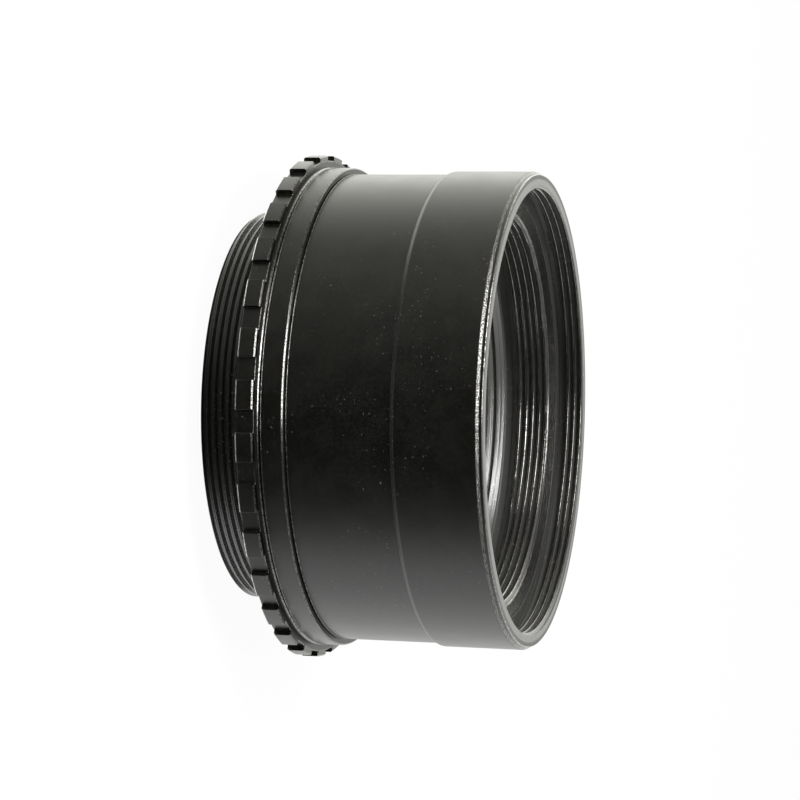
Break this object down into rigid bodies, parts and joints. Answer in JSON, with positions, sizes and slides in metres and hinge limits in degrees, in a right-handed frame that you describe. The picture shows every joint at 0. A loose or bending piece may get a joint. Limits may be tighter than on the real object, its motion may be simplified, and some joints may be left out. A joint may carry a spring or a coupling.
{
  "type": "telescope adapter",
  "caption": "Short black adapter ring: two inch barrel with filter thread at its mouth, camera thread and notched lock ring at the back.",
  "frame": {"origin": "centre of the camera thread's end face, on the surface that the adapter stands on", "axes": "+Z along the optical axis, up from the camera thread to the mouth; the teeth are spaced evenly round it"},
  "size_m": [0.0542, 0.0542, 0.0306],
  "materials": {
    "satin_black_anodised": "fine matt blast under black anodising, semi-matt",
    "gloss_black_anodised": "bright turned threads and bore under black anodising"
  },
  "bodies": {
    "adapter": {"threaded_nose": "gloss_black_anodised", "barrel": "satin_black_anodised", "front_sleeve": "satin_black_anodised", "thread_insert": "gloss_black_anodised"},
    "stop_ring": {"stop_ring": "satin_black_anodised"},
    "lock_ring": {"lock_ring": "satin_black_anodised"}
  },
  "joints": [
    {"name": "lock_ring_turn", "type": "hinge", "parent": "adapter", "child": "stop_ring", "pos_m": [0, 0, 0.009], "axis": [0, 0, -1], "range_deg": [0, 2520]},
    {"name": "lock_ring_travel", "type": "slide", "parent": "stop_ring", "child": "lock_ring", "axis": [0, 0, -1], "range_m": [0, 0.00525]}
  ],
  "couplings": [
    {"joint": "lock_ring_travel", "follows": "lock_ring_turn", "m_per_rad": 0.00011937}
  ]
}
